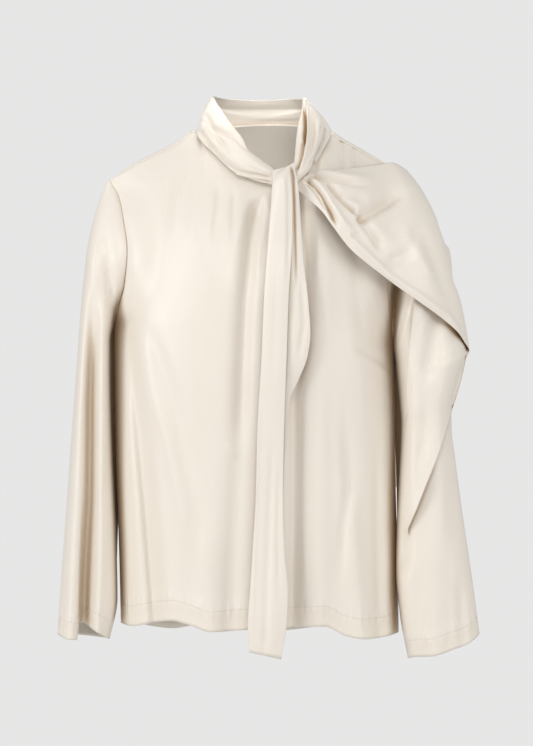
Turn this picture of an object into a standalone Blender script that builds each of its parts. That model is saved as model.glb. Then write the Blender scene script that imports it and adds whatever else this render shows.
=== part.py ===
"""A satin blouse with a scarf tied at the neck, filled out as if worn, as the pieces that a maker cuts.

Metres, +Z up, the front towards -Y, the wearer's left at +X. The origin is on the centre line of the
neck, level with the neck ends of the shoulder seams. Tables and sizes are in millimetres.
"""

import math

import bmesh
import bpy
from mathutils import Vector
from mathutils.bvhtree import BVHTree

MM = 0.001
WALL = 1.0            # cloth wall
SEAM = 0.3            # gap between the walls of two pieces at a seam
LEAN = 0.9            # what the outer faces add to it where the two walls lean towards each other
SEAM_STEP = (SEAM + LEAN) / 2
NECK_CLEARANCE = 1.6  # between the outer face of the front and that of the scarf's neck stretches
DRAPE_CLEARANCE = 4.0  # the same under the drape, which stands loose of the shoulder and arm
IVORY = (0.80, 0.745, 0.66)
ROUGHNESS = 0.42


class Table:
    """Rows with named columns, read on a smooth curve through the rows by the first column."""

    def __init__(self, columns, *rows):
        self.columns = columns.split()
        self.rows = sorted(rows)

    def read(self, at, *names):
        values = [self.one(at, self.columns.index(name)) for name in names]
        return values[0] if len(values) == 1 else values

    def one(self, at, column):
        rows = self.rows
        at = min(max(at, rows[0][0]), rows[-1][0])
        low = 0
        while low < len(rows) - 2 and at > rows[low + 1][0]:
            low += 1
        start, end = rows[low], rows[low + 1]
        width = end[0] - start[0]
        t = (at - start[0]) / width
        first, last = self.slope(low, column), self.slope(low + 1, column)
        return (
            start[column] * (1 + 2 * t) * (1 - t) ** 2
            + end[column] * t * t * (3 - 2 * t)
            + width * (first * t * (1 - t) ** 2 - last * t * t * (1 - t))
        )

    def slope(self, row, column):
        """A slope that never overshoots the rows on either side."""
        def rise(low):
            return ((self.rows[low + 1][column] - self.rows[low][column])
                    / (self.rows[low + 1][0] - self.rows[low][0]))
        if row == 0:
            return rise(0)
        if row == len(self.rows) - 1:
            return rise(row - 1)
        before, after = rise(row - 1), rise(row)
        if before * after <= 0:
            return 0.0
        return 2 * before * after / (before + after)


def mix(start, end, share):
    return start + (end - start) * share


def ease(value, start, end):
    """0 before start, 1 after end, and a smooth step between."""
    share = min(max((value - start) / (end - start), 0.0), 1.0)
    return share * share * (3 - 2 * share)


class Crease:
    """A soft trough (depth above 0) or ridge along a path, with a reach on its near and far side.

    The far side is the viewer's right of a path that runs down, and above one that runs right.
    """

    def __init__(self, depth, near, far, fade_in, fade_out, *path):
        self.depth, self.near, self.far = depth, near, far
        self.fade_in, self.fade_out = fade_in, fade_out
        self.runs, self.length = [], 0.0
        for start, end in zip(path, path[1:]):
            length = math.dist(start, end)
            self.runs.append((start, end, length, self.length))
            self.length += length

    def at(self, x, z):
        best, found = 1e9, None
        for start, end, length, before in self.runs:
            dx, dz = (end[0] - start[0]) / length, (end[1] - start[1]) / length
            off_x, off_z = x - start[0], z - start[1]
            along = min(max(off_x * dx + off_z * dz, 0.0), length)
            distance = math.hypot(off_x - along * dx, off_z - along * dz)
            if distance < best:
                best, found = distance, (before + along, off_z * dx - off_x * dz)
        along, side = found
        reach = self.far if side > 0 else self.near
        if best > 3 * reach:
            return 0.0
        share = along / self.length
        ends = ease(share, 0, self.fade_in) * ease(1 - share, 0, self.fade_out)
        return self.depth * ends * math.exp(-(best / reach) ** 2)


def creased(creases, x, z):
    return sum(crease.at(x, z) for crease in creases)


# ---------------------------------------------------------------- the body

# Shoulder seams, with the points where they meet the neck.
SHOULDERS = Table(
    "x     z",
    (-194, -63),
    (-150, -38),
    (-110, -18),
    (-79, 1),
    (82, 5),
    (110, -11),
    (150, -34),
    (188, -57),
)
# Armhole and side seam on each side, from the shoulder tip down: where the seam runs.
RIGHT_SEAM = Table(
    "z     x    front back",
    (-62, -194, -6, -6),
    (-83, -182, -34, 22),
    (-116, -175, -54, 46),
    (-155, -170, -58, 56),
    (-200, -174, -44, 50),
    (-233, -184, -18, 28),
    (-252, -188, 4, 4),
    (-400, -186, 4, 4),
    (-560, -181, 4, 4),
    (-645, -179, 4, 4),
)
LEFT_SEAM = Table(
    "z     x    front back",
    (-57, 188, -6, -6),
    (-83, 180, -34, 22),
    (-116, 174, -54, 46),
    (-155, 169, -58, 56),
    (-200, 170, -50, 52),
    (-239, 173.5, -26, 34),
    (-265, 176, -6, 14),
    (-279, 178, 4, 4),
    (-428, 180, 4, 4),
    (-560, 183.5, 4, 4),
    (-655, 185, 4, 4),
)
# The general figure: how far the cloth stands forward and back on the centre line and at the sides,
# and how round it is between.
FIGURE = Table(
    "z    front back front_side back_side round",
    (-60, -92, 84, -34, 34, 0.90),
    (-155, -107, 97, -38, 38, 0.82),
    (-215, -112, 99, -33, 32, 0.74),
    (-290, -112, 94, -20, 22, 0.64),
    (-400, -107, 88, -2, 8, 0.55),
    (-520, -103, 90, 4, 4, 0.50),
    (-650, -102, 97, 4, 4, 0.50),
)
SIDE_EASE = 46                # how far in from the seams the figure's own depth takes over
RIGHT_TIP_X, RIGHT_TIP_Z = -194, -62                 # the shoulder tips
LEFT_TIP_X, LEFT_TIP_Z = 188, -57
HEM_RIGHT_X, HEM_LEFT_X = -180, 185
NECK_LEFT_X, NECK_RIGHT_X, NECK_CENTRE_X = 82, -79, 12
NECK_DROP, BACK_NECK_RISE = 74, 5
SHOULDER_Y, NECK_FRONT_Y, NECK_BACK_Y = -6, -62, 60
FRONT_ROLL, BACK_ROLL = 190, 130     # how far below the shoulder the cloth reaches its full depth
ROLL_POWER = 2.2                     # how soon it does
NECK_ROUND, NECK_CURVE = 0.6, 2.2    # how round the neckline is from above and from in front
UNDERARM_TOP, UNDERARM_END = 215, 290    # where the side seams take over from the armholes
ROW_CROWDING = 1.25                  # how much closer the rows lie at the shoulders than at the hem
HEM = Table(
    "x     front back",
    (-180, -641, -641),
    (-166, -644, -643),
    (-137, -639, -649),
    (-112, -636, -652),
    (-90, -641, -649),
    (-60, -650, -645),
    (-14, -647, -650),
    (36, -645, -655),
    (86, -643, -650),
    (116, -656, -651),
    (140, -660, -656),
    (165, -658, -655),
    (185, -653, -653),
)
FRONT_CREASES = [
    Crease(9, 9, 15, 0.45, 0.02, (-170, -207), (-159, -350), (-145, -480), (-133, -610), (-129, -670)),
    Crease(3.5, 13, 15, 0.3, 0.4, (-167, -213), (-131, -285), (-107, -363), (-81, -480), (-66, -560)),
    Crease(-3, 13, 15, 0.4, 0.4, (-150, -300), (-118, -390), (-98, -480), (-90, -600)),
    Crease(9, 14, 13, 0.12, 0.3, (2, -76), (-10, -142), (-19, -220), (-23, -324), (-25, -441)),
    Crease(5, 16, 16, 0.4, 0.02, (-20, -320), (-27, -441), (-33, -558), (-38, -670)),
    Crease(-4, 16, 18, 0.4, 0.02, (-62, -480), (-64, -580), (-62, -670)),
    Crease(9, 10, 13, 0.06, 0.02, (55, -66), (59, -168), (55, -272), (47, -350), (48, -480), (46, -670)),
    Crease(-3, 12, 14, 0.3, 0.05, (80, -100), (84, -230), (86, -350), (80, -670)),
    Crease(3.2, 7, 7, 0.4, 0.3, (112, -340), (116, -420), (118, -463), (112, -511), (105, -610)),
    Crease(-8, 18, 16, 0.6, 0.02, (108, -420), (128, -560), (139, -670)),
    Crease(4, 8, 8, 0.4, 0.05, (152, -380), (154, -441), (157, -670)),
]


def in_neck(x):
    return NECK_RIGHT_X < x < NECK_LEFT_X


def neck_share(x):
    """How far from the neckline's lowest point, 0, to a neck point, 1."""
    half = (NECK_LEFT_X if x > NECK_CENTRE_X else NECK_RIGHT_X) - NECK_CENTRE_X
    return abs((x - NECK_CENTRE_X) / half)


def front_top(x):
    """(y, z) of the front's upper edge, on the shoulder seams and the neckline."""
    z = SHOULDERS.read(x, "z")
    if not in_neck(x):
        return SHOULDER_Y, z
    share = neck_share(x)
    depth = max(1 - share * share, 0.0) ** NECK_ROUND
    return mix(SHOULDER_Y, NECK_FRONT_Y, depth), z - NECK_DROP * (1 - share ** NECK_CURVE)


def body_y(x, z, side, top, roll, creases):
    """Depth of the front or the back ('front' or 'back') at a point of its outline as seen from in front."""
    right_x, right_y = RIGHT_SEAM.read(min(z, RIGHT_TIP_Z), "x", side)
    left_x, left_y = LEFT_SEAM.read(min(z, LEFT_TIP_Z), "x", side)
    centre, at_side, round_power = FIGURE.read(z, side, side + "_side", "round")
    share = min(max((x - right_x) / (left_x - right_x), 0.0), 1.0)
    arch = max(1 - (2 * share - 1) ** 2, 0.0) ** round_power
    y = mix(at_side, centre, arch)
    y += (right_y - at_side) * (1 - ease(x - right_x, 0, SIDE_EASE))
    y += (left_y - at_side) * (1 - ease(left_x - x, 0, SIDE_EASE))
    top_y, top_z = top(x)
    below = min(max((top_z - z) / roll, 0.0), 1.0)
    y = mix(top_y, y, 1 - (1 - below) ** ROLL_POWER)
    edge = ease(share, 0, 0.05) * ease(1 - share, 0, 0.05)
    return y + edge * creased(creases, x, z)


def front_y(x, z):
    return body_y(x, z, "front", front_top, FRONT_ROLL, FRONT_CREASES)


def body_place(across, up, side, top, depth):
    """A point of the front or back panel: across from the wearer's right to left, up from the hem."""
    up = 1 - (1 - up) ** ROW_CROWDING
    right_z = mix(HEM.read(HEM_RIGHT_X, side), RIGHT_TIP_Z, up)
    left_z = mix(HEM.read(HEM_LEFT_X, side), LEFT_TIP_Z, up)
    rounded = ease(-(right_z + left_z) / 2, UNDERARM_TOP, UNDERARM_END)
    share = mix(across, (1 - math.cos(math.pi * across)) / 2, rounded)
    x = mix(RIGHT_SEAM.read(right_z, "x"), LEFT_SEAM.read(left_z, "x"), share)
    top_x = mix(RIGHT_TIP_X, LEFT_TIP_X, share)
    top_z = top(top_x)[1]
    z = mix(HEM.read(mix(HEM_RIGHT_X, HEM_LEFT_X, share), side), top_z, up)
    out = -1 if side == "front" else 1
    y = depth(x, z) + out * SEAM_STEP * (1 + ease(up, 0.9, 1.0))
    x += (1 - 2 * across) * ease(abs(1 - 2 * across), 0.9, 1.0) * (1 - rounded) * SEAM_STEP
    z -= ease(up, 0.97, 1.0) * SEAM_STEP
    return x, y, z, top_x, top_z


def front_place(u, v):
    return body_place(u, v, "front", front_top, front_y)[:3]


BACK_CREASES = [
    Crease(-8, 18, 18, 0.4, 0.02, (-150, -240), (-140, -450), (-132, -670)),
    Crease(-6, 24, 24, 0.3, 0.02, (-70, -60), (-75, -350), (-78, -670)),
    Crease(6, 26, 26, 0.3, 0.02, (10, -30), (6, -350), (4, -670)),
    Crease(-7, 22, 22, 0.3, 0.02, (78, -60), (82, -350), (84, -670)),
    Crease(6, 18, 18, 0.4, 0.02, (140, -240), (139, -450), (138, -670)),
    Crease(3, 9, 12, 0.3, 0.4, (-165, -215), (-120, -330), (-100, -470)),
    Crease(3, 12, 9, 0.3, 0.4, (162, -225), (118, -340), (96, -480)),
]
SHOULDER_RISE, SHOULDER_RISE_RUN = 3.0, 14     # how the back rises over the shoulder from the seam
RISE_INSET = 16                                # and how far in from the seam's ends it is full


def back_top(x):
    z = SHOULDERS.read(x, "z")
    if not in_neck(x):
        return SHOULDER_Y, z
    share = neck_share(x)
    depth = max(1 - share * share, 0.0) ** NECK_ROUND
    return mix(SHOULDER_Y, NECK_BACK_Y, depth), z + BACK_NECK_RISE * depth


def back_y(x, z):
    return body_y(x, z, "back", back_top, BACK_ROLL, BACK_CREASES)


def back_place(u, v):
    x, y, z, top_x, top_z = body_place(1 - u, v, "back", back_top, back_y)
    if not in_neck(top_x):
        below = top_z - z
        beside_neck = max(top_x - NECK_LEFT_X, NECK_RIGHT_X - top_x)
        inset = min(top_x - RIGHT_TIP_X, LEFT_TIP_X - top_x, beside_neck)
        z += ease(inset, 0, RISE_INSET) * SHOULDER_RISE * below * math.exp(-below / SHOULDER_RISE_RUN)
    return x, y, z


# ---------------------------------------------------------------- the sleeves

# Rings from the armhole down: the outer and inner points of each, its middle, how deep it is each way
# and how far it reaches in behind the body.
RINGS = "down  out_x out_z in_x  in_z  y    front back behind"
RIGHT_SLEEVE = Table(
    RINGS,
    (0.00, -194, -62, -188, -252, 0, 54, 52, 0),
    (0.04, -202, -67, -189, -253, -1, 55, 52, 4),
    (0.10, -214, -99, -190, -256, -2, 56, 52, 10),
    (0.18, -222, -144, -191.5, -262, -4, 56, 52, 20),
    (0.28, -230, -215, -193, -275, -6, 54, 52, 26),
    (0.40, -237, -310, -192.5, -330, -8, 52, 54, 26),
    (0.55, -244, -405, -190, -415, -10, 50, 54, 24),
    (0.75, -252.5, -525, -184.5, -535, -14, 46, 48, 14),
    (0.88, -258, -600, -183, -608, -17, 42, 40, 6),
    (1.00, -261.5, -655, -193, -662, -20, 38, 34, 0),
)
LEFT_SLEEVE = Table(
    RINGS,
    (0.00, 188, -57, 178, -279, 0, 54, 52, 0),
    (0.04, 197, -64, 178, -280, -1, 55, 52, 4),
    (0.10, 213, -84, 178.5, -283, -2, 56, 52, 10),
    (0.18, 229, -128, 179.5, -289, -4, 56, 52, 18),
    (0.28, 247, -196, 181, -300, -6, 54, 52, 24),
    (0.37, 264, -256, 182.5, -318, -8, 52, 52, 26),
    (0.42, 272, -284, 184, -334, -9, 51, 52, 26),
    (0.47, 263, -318, 186, -354, -10, 50, 52, 26),
    (0.53, 253.5, -362, 188, -382, -11, 50, 52, 26),
    (0.58, 254, -389, 187, -408, -12, 50, 52, 24),
    (0.64, 258, -424, 185.5, -440, -18, 47, 50, 20),
    (0.75, 268, -500, 181.5, -516, -27, 43, 50, 12),
    (0.84, 276.5, -558, 180.5, -570, -33, 40, 47, 6),
    (0.93, 285, -619, 186, -632, -35, 39, 40, 0),
    (1.00, 289.5, -654, 196, -686, -35, 38, 37, 0),
)
# How low the front of each cuff hangs.
RIGHT_CUFF = Table(
    "x    z",
    (-261.5, -655),
    (-248, -661),
    (-235, -662),
    (-231.5, -640),
    (-212, -650),
    (-193, -662),
)
LEFT_CUFF = Table(
    "x    z",
    (196, -686),
    (206, -683.5),
    (226, -682.5),
    (237, -680),
    (256, -673),
    (269, -669),
    (282, -661),
    (289.5, -654),
)
# The left sleeve's front stands forward as a column between two edges, lapping over what is beside it.
# inner: its edge towards the body. outer: the other one. lap: how far it covers. lift: how far forward.
LEFT_COLUMN = Table(
    "z     inner_x inner_lap inner_lift outer_x outer_lap outer_lift hold",
    (-57, 204, 0, 0, 240, 0, 0, 0),
    (-170, 204, 0, 0, 250, 0, 0, 0),
    (-205, 203.5, 6, 6, 236, 0, 0, 0.8),
    (-230, 202, 9, 11, 243, 0, 0, 1),
    (-265, 198.5, 9, 12, 256, 0, 2, 1),
    (-279, 197.3, 9, 12, 268, 3, 6, 1),
    (-286, 196.8, 9, 12, 277, 12, 9, 1),
    (-297, 196, 9, 12, 272.5, 20, 11, 1),
    (-315, 194.5, 8, 12, 268.5, 27, 12, 1),
    (-344, 192.5, 6, 11, 260.5, 28, 13, 1),
    (-368, 190.5, 3, 9, 252.5, 28, 13, 1),
    (-389, 188.5, 0, 6, 246, 28, 13, 1),
    (-421, 186, 0, 5, 235, 28, 12, 1),
    (-469, 184, 0, 4, 215.5, 24, 11, 1),
    (-493, 182, 0, 3, 206, 18, 9, 1),
    (-511, 181, 0, 2, 198, 9, 7, 1),
    (-525, 181, 0, 0, 192, 2, 4, 1),
    (-545, 181, 0, 0, 190, 0, 0, 1),
    (-630, 195, 0, 0, 240, 0, 0, 0),
    (-690, 215, 0, 0, 262, 0, 0, 0),
)
RIGHT_SLEEVE_CREASES = [
    Crease(6, 14, 12, 0.4, 0.3, (-200, -90), (-200, -130), (-198, -175), (-195, -215), (-190, -262)),
    Crease(5, 5, 6, 0.4, 0.3, (-196, -150), (-193, -200), (-189, -250)),
    Crease(14, 9, 11, 0.3, 0.01,
           (-213, -150), (-215, -250), (-218, -350), (-219, -480), (-224, -600), (-227, -690)),
    Crease(8, 1.6, 9, 0.55, 0.01, (-225, -430), (-230, -560), (-233, -690)),
    Crease(-6, 8, 8, 0.3, 0.01, (-226, -200), (-232, -350), (-243, -560), (-248, -690)),
    Crease(-6, 7, 7, 0.3, 0.01, (-203, -220), (-203, -400), (-204, -560), (-210, -690)),
]
LEFT_SLEEVE_CREASES = [
    Crease(5, 10, 10, 0.3, 0.4, (254, -350), (254, -389), (256, -470), (257, -558)),
    Crease(-6, 16, 14, 0.5, 0.01, (226, -430), (230, -560), (232, -690)),
    Crease(9, 10, 12, 0.2, 0.3, (233, -225), (231, -250), (226, -290), (218, -330)),
    Crease(5, 5, 9, 0.3, 0.3, (192, -515), (191, -540), (190, -560), (182, -585)),
    Crease(3, 8, 10, 0.4, 0.01, (206, -560), (210, -690)),
    Crease(-3, 6, 8, 0.3, 0.3, (206, -250), (204, -330), (200, -420), (198, -500)),
    Crease(3.5, 7, 9, 0.4, 0.4, (222, -330), (218, -390), (208, -460)),
    Crease(3, 7, 7, 0.4, 0.01, (262, -560), (268, -690)),
]


FRONT_POWER, BACK_POWER = 2.3, 0.87            # how square the rings are in front and behind
CAP_SHARE, CUFF_SHARE = 0.2, 0.15              # how much of the length the cap and the cuff take
# Where the column's path has its corners, by share of the front: under the inner edge, at it,
# at the outer edge and back under it.
CORNERS = (0.20, 0.30, 0.66, 0.78)
LEAST_STEP = 6                                 # between one corner and the next


class Sleeve:
    """One sleeve: its armhole on the body's seam, rings down to the cuff, and its standing column."""

    def __init__(self, sign, rings, seam, cuff, column, creases):
        self.sign, self.rings, self.seam = sign, rings, seam
        self.cuff, self.column, self.creases = cuff, column, creases

    def armhole(self, along, front):
        z = mix(self.rings.read(0, "in_z"), self.rings.read(0, "out_z"), (along + 1) / 2)
        x = self.seam.read(z, "x")
        return Vector((x + self.sign * SEAM_STEP, (front_y if front else back_y)(x, z), z))

    def free(self, along, side, down):
        out_x, out_z, in_x, in_z, y, front, back, behind = self.rings.read(down, *RINGS.split()[1:])
        x = mix(in_x, out_x, (along + 1) / 2)
        z = mix(in_z, out_z, (along + 1) / 2)
        if side < 0:
            lift = 0.0
            if self.column:
                x, lift = self.lapped(x, z, in_x, out_x, in_z, out_z)
            share = (x - in_x) / (out_x - in_x)
            reach = min(max(2 * share - 1, -1.0), 1.0)
            y -= front * (1 - abs(reach) ** FRONT_POWER) ** 0.5 + lift
            z = mix(in_z, out_z, share) + self.cuff_drop(share) * ease(down, 1 - CUFF_SHARE, 1.0)
        else:
            y += back * side ** BACK_POWER
            x -= self.sign * behind * ease(side, 0.2, 0.9) * (1 - along) / 2
        return Vector((x, y, z))

    def cuff_drop(self, share):
        """How far the front of the cuff hangs below the line between its inner and outer points."""
        out_x, out_z, in_x, in_z = self.rings.read(1, "out_x", "out_z", "in_x", "in_z")
        return self.cuff.read(mix(in_x, out_x, share), "z") - mix(in_z, out_z, share)

    def lapped(self, x, z, in_x, out_x, z_in, z_out):
        """Moves a point of the front on to the column's path: under its edge, back over it, and on."""
        share = (x - in_x) / (out_x - in_x)
        rise = (z_out - z_in) / (out_x - in_x)
        level = z
        for _ in range(3):
            inner, inner_lap, inner_lift, inner_hold = self.column.read(
                level, "inner_x", "inner_lap", "inner_lift", "hold")
            inner = mix(mix(in_x, out_x, CORNERS[1]), inner, inner_hold)
            level = z_in + rise * (inner - in_x)
        level = z
        for _ in range(3):
            outer, outer_lap, outer_lift, outer_hold = self.column.read(
                level, "outer_x", "outer_lap", "outer_lift", "hold")
            outer = mix(mix(in_x, out_x, CORNERS[2]), outer, outer_hold)
            level = z_in + rise * (outer - in_x)
        inner = max(inner, in_x + LEAST_STEP + 2)
        outer = max(outer, inner + LEAST_STEP)
        under_inner = inner + inner_lap - LEAST_STEP * (1 - ease(inner_lap, 0, LEAST_STEP))
        under_outer = outer - outer_lap + LEAST_STEP * (1 - ease(outer_lap, 0, LEAST_STEP))
        path = Table(
            "share at lift",
            (0.0, in_x, 0.0),
            (CORNERS[0], under_inner, 0.0),
            (CORNERS[1], inner, inner_lift),
            (CORNERS[2], outer, max(inner_lift * ease(outer_lap, 0, 12), outer_lift)),
            (CORNERS[3], max(under_outer, inner + LEAST_STEP), 0.0),
            (1.0, out_x, 0.0),
        )
        return path.read(share, "at", "lift")

    def place(self, u, v):
        down = 1 - v
        angle = 2 * math.pi * u
        along, side = -math.cos(angle), -self.sign * math.sin(angle)
        point = self.free(along, side, down)
        attached = 1 - ease(down, 0.0, CAP_SHARE)
        if attached:
            point = point.lerp(self.armhole(along, side < 0), attached)
        if side < 0:
            point.y += creased(self.creases, point.x, point.z) * ease(-side, 0, 0.5) * ease(down, 0, 0.06)
        return point


SLEEVE_RIGHT = Sleeve(-1, RIGHT_SLEEVE, RIGHT_SEAM, RIGHT_CUFF, None, RIGHT_SLEEVE_CREASES)
SLEEVE_LEFT = Sleeve(1, LEFT_SLEEVE, LEFT_SEAM, LEFT_CUFF, LEFT_COLUMN, LEFT_SLEEVE_CREASES)


# ---------------------------------------------------------------- the scarf

# Each stretch runs between two long edges, a and b, through a middle line, m.
WOUND = "along ax ay az mx my mz bx by bz"
NECK_BAND = Table(
    WOUND,
    (0.00, 22, -78, -70, 22, -86, -62, 26, -80, -53),
    (0.08, 4, -76, -68, 6, -84, -54, 12, -72, -43),
    (0.16, -19, -73, -61, -13, -78, -41, -5, -65, -29),
    (0.24, -36, -66, -51, -27, -70, -26, -18, -56, -11),
    (0.32, -49, -57, -40, -41, -58, -12, -32, -44, 7),
    (0.40, -63, -44, -24, -56, -44, 3, -43, -32, 23),
    (0.48, -77, -18, -3, -69, -18, 19, -53, -8, 40),
    (0.56, -80, 14, 8, -72, 14, 29, -57, 14, 49),
    (0.66, -56, 52, 8, -53, 50, 29, -44, 44, 47),
    (0.76, 0, 66, 8, 0, 64, 28, 0, 58, 45),
    (0.85, 58, 52, 8, 54, 50, 29, 46, 44, 46.5),
    (0.92, 95, 12, 7, 82, 10, 26, 60, 8, 44),
    (0.96, 96, -20, -2, 79, -26, 12, 60, -20, 26),
    (1.00, 76, -58, -42, 68, -60, -30, 55, -50, -16),
)
NECK_BAND_CREASES = [
    Crease(5, 4, 7, 0.1, 0.1, (-80, 0), (-68, -13), (-55, -25), (-36, -44), (-10, -57), (19, -66)),
]
REACH = 26                    # how deep a point may lie in what it covers
NUDGE = 0.004                 # the step that the direction out of the cloth is read over


def wound(table, across, along):
    values = table.read(along, *WOUND.split()[1:])
    a, m, b = Vector(values[:3]), Vector(values[3:6]), Vector(values[6:])
    return (a * (1 - across) * (1 - 2 * across) + m * 4 * across * (1 - across)
            + b * across * (2 * across - 1))


def folded(table, creases, runs=(), under=(), clearance=0.0):
    """A wound stretch with creases in its seen front, and runs of them by share along and across it.

    It lies clear of the forms under it.
    """
    def place(across, along):
        point = wound(table, across, along)
        side = wound(table, across + NUDGE, along) - wound(table, across - NUDGE, along)
        ahead = wound(table, across, min(along + NUDGE, 1)) - wound(table, across, max(along - NUDGE, 0))
        out = side.cross(ahead).normalized()
        depth = creased(runs, 100 * along, 100 * across)
        if out.y < 0:
            depth += creased(creases, point.x, point.z) * ease(-out.y, 0, 0.35)
        if under:
            point = lifted(point, out, under, clearance + max(depth, 0.0))
        return point - out * depth

    return place


def lifted(point, out, under, clearance):
    """The point moved out, along the cloth's own outward direction, until it clears every form under it."""
    height = -clearance
    for form in under:
        hit, _, _, distance = form.ray_cast(point + out * REACH, -out, REACH + clearance)
        if hit:
            height = max(height, REACH - distance)
    return point + out * (height + clearance)


KNOT = Table(
    WOUND,
    (0.0, 19, -82, -52, 19, -89, -61, 19, -82, -70),
    (0.25, 25, -88, -50, 25, -95, -61, 25, -88, -72),
    (0.6, 35, -89, -48, 35, -96, -61, 35, -89, -73),
    (1.0, 43, -85, -51, 43, -91, -62, 43, -85, -72),
)

DRAPE = Table(
    WOUND,
    (0.00, 54, -80, -56, 52, -87, -64, 49, -81, -74),
    (0.08, 72, -76, -53, 70, -92, -70, 62, -94, -86),
    (0.16, 98, -62, -51, 92, -92, -78, 82, -102, -104),
    (0.24, 120, -46, -48, 117, -88, -88, 99, -106, -127),
    (0.32, 139, -30, -45, 143, -80, -100, 120, -105, -154),
    (0.40, 158, -14, -42, 172, -68, -112, 146, -98, -176),
    (0.48, 174, 0, -39, 201, -58, -121, 176, -88, -199),
    (0.56, 189, 13, -45, 226, -44, -130, 212, -78, -224),
    (0.64, 198, 26, -59, 244, -22, -142, 246, -60, -249),
    (0.72, 201, 44, -76, 252, 10, -160, 277, -22, -285),
    (0.80, 192, 68, -106, 249, 48, -192, 268, 26, -292),
    (0.88, 160, 96, -156, 216, 82, -244, 246, 66, -322),
    (0.94, 126, 114, -246, 176, 105, -316, 214, 92, -378),
    (1.00, 104, 120, -400, 150, 116, -440, 190, 104, -470),
)
DRAPE_CREASES = [
    Crease(8, 4.5, 6, 0.1, 0.25, (60, -66), (78, -72), (94, -80), (110, -92), (124, -106)),
    Crease(7, 6, 8, 0.3, 0.35, (112, -96), (128, -108), (142, -104), (160, -99), (192, -73)),
    Crease(6, 4, 6, 0.1, 0.3, (62, -70), (78, -84), (86, -98), (94, -112), (108, -134)),
    Crease(-3.5, 5, 5, 0.2, 0.4, (66, -66), (88, -84), (108, -108), (134, -134)),
    Crease(4, 6, 7, 0.3, 0.4, (123, -106), (140, -126), (153, -142), (158, -164)),
    Crease(4, 6, 7, 0.3, 0.4, (156, -172), (172, -169), (186, -164), (201, -138)),
    Crease(-3, 9, 9, 0.3, 0.4, (140, -110), (166, -136), (186, -150)),
    Crease(3, 9, 9, 0.4, 0.3, (196, -110), (216, -150), (236, -196), (252, -240)),
    Crease(-3, 10, 10, 0.4, 0.3, (180, -116), (200, -160), (226, -208)),
]
DRAPE_RUNS = [
    Crease(6, 8, 8, 0.1, 0.02, (66, 30), (80, 36), (100, 40)),
    Crease(6, 8, 8, 0.1, 0.02, (68, 62), (82, 66), (100, 70)),
    Crease(-4, 7, 7, 0.1, 0.02, (68, 47), (82, 52), (100, 56)),
]

NECK_STRAP = Table(
    WOUND,
    (0.00, 74, -2, 30, 67, -2, 42, 60, -2, 47),
    (0.18, 88, -26, 12, 76, -38, 22, 57, -32, 26),
    (0.40, 84, -50, -8, 71, -66, -6, 52, -54, 2),
    (0.62, 77, -72, -30, 65, -86, -28, 49, -74, -24),
    (0.82, 67, -88, -52, 58, -98, -50, 47.5, -88, -45),
    (1.00, 52, -94, -67, 48, -99, -62, 45, -93, -56),
)


# Their two edges, how far forward they lie, and how much they bow.
HANGING = "down ax az bx bz y bow"
TAIL = Table(
    HANGING,
    (0.00, 42, -50, 27, -58, -101, 2),
    (0.03, 43, -45, 25, -52, -105, 3),
    (0.07, 43.5, -56, 20, -64, -110, 6),
    (0.14, 45, -92, 18, -96, -114, 6),
    (0.24, 45, -140, 14, -140, -117, 5),
    (0.38, 40.5, -215, 8.5, -215, -126, 4),
    (0.50, 37.5, -300, 5, -300, -126, 3),
    (0.64, 34.5, -385, 0, -385, -120, 2),
    (0.77, 33, -480, -2.5, -480, -116, 2),
    (0.86, 35, -545, -6.5, -545, -117, 3),
    (0.93, 39.5, -600, -10, -600, -119, 4),
    (0.97, 37.5, -642, -12.5, -640, -120, 5),
    (1.00, 30.5, -684, -11, -675, -120, 3),
)

TAIL_EDGE = Table(
    HANGING,
    (0.00, 46, -58, 38, -60, -102, 0),
    (0.08, 52, -72, 38, -74, -105, 1),
    (0.18, 56, -115, 37, -115, -108, 2),
    (0.30, 61, -170, 34, -170, -113, 3),
    (0.42, 66, -225, 30, -225, -118, 4),
    (0.50, 68.5, -264, 28, -262, -118, 5),
    (0.56, 65, -292, 26, -292, -117, 5),
    (0.64, 52, -326, 24, -326, -116, 3),
    (0.70, 42, -350, 22, -352, -114, 1),
    (0.80, 35.5, -420, 14, -420, -111, 0),
    (0.90, 32, -520, 6, -520, -109, 0),
    (1.00, 24, -664, -4, -660, -111, 0),
)


def hanging(table):
    def place(across, down):
        ax, az, bx, bz, y, bow = table.read(down, *HANGING.split()[1:])
        return mix(ax, bx, across), y - bow * 4 * across * (1 - across), mix(az, bz, across)

    return place


# ---------------------------------------------------------------- making the pieces

def satin(name):
    material = bpy.data.materials.new("satin_ivory_" + name)
    material.use_nodes = True
    shader = material.node_tree.nodes["Principled BSDF"]
    shader.inputs["Base Color"].default_value = (*IVORY, 1)
    shader.inputs["Roughness"].default_value = ROUGHNESS
    shader.inputs["Metallic"].default_value = 0.0
    return material


def cloth(name, place, columns, rows, tube=False):
    """A cloth wall on a grid: place(u, v) in millimetres gives its outer face."""
    sheet = bmesh.new()
    bmesh.ops.create_grid(sheet, x_segments=columns, y_segments=rows, size=0.5)
    for vert in sheet.verts:
        vert.co = place(vert.co.x + 0.5, vert.co.y + 0.5)
    if tube:
        bmesh.ops.remove_doubles(sheet, verts=sheet.verts[:], dist=0.01)
    form = BVHTree.FromBMesh(sheet)
    bmesh.ops.scale(sheet, vec=(MM, MM, MM), verts=sheet.verts)
    mesh = bpy.data.meshes.new(name)
    sheet.to_mesh(mesh)
    sheet.free()
    mesh.shade_smooth()
    mesh.materials.append(satin(name))
    node = bpy.data.objects.new(name, mesh)
    bpy.context.scene.collection.objects.link(node)
    wall = node.modifiers.new("wall", "SOLIDIFY")
    wall.thickness = WALL * MM
    wall.offset = -1
    return form


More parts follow.
